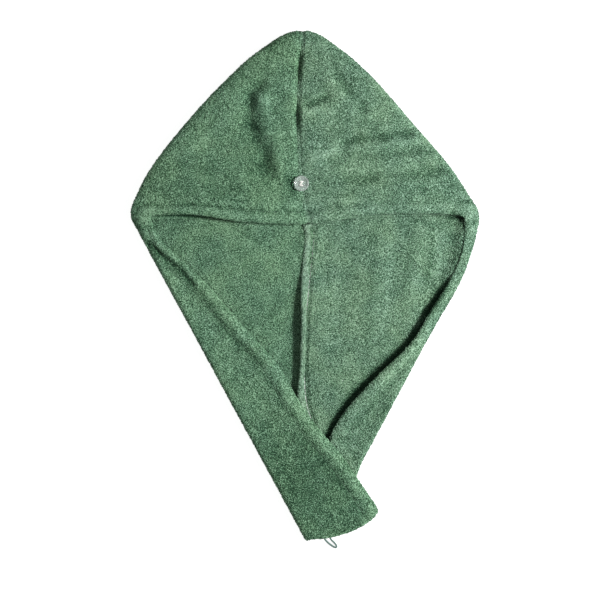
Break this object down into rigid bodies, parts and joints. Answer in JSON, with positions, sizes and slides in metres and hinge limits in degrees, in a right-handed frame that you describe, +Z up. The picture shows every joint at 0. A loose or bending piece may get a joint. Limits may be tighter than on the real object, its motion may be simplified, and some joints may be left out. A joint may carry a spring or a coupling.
{
  "type": "hair turban towel",
  "caption": "Terry hair turban lying flat: a hood with a centre seam and button, and two folded flaps that run into a tail with an elastic loop.",
  "frame": {"origin": "middle of the towel's footprint on the surface that it lies on, measured without the elastic loop", "axes": "+Y from the tail end to the peak of the hood, +X to the right seen from above, +Z up"},
  "size_m": [0.3998, 0.5958, 0.0198],
  "materials": {
    "terry_left": "soft green cotton terry with short loops",
    "terry_right": "soft green cotton terry with short loops",
    "terry_seam": "overlocked raw terry edges",
    "button": "clear moulded plastic with a raised rim",
    "elastic": "covered round elastic"
  },
  "bodies": {
    "root": {"left_panel": "terry_left", "right_panel": "terry_right", "seam_allowance": "terry_seam", "button": "button", "elastic_loop": "elastic"}
  },
  "joints": []
}
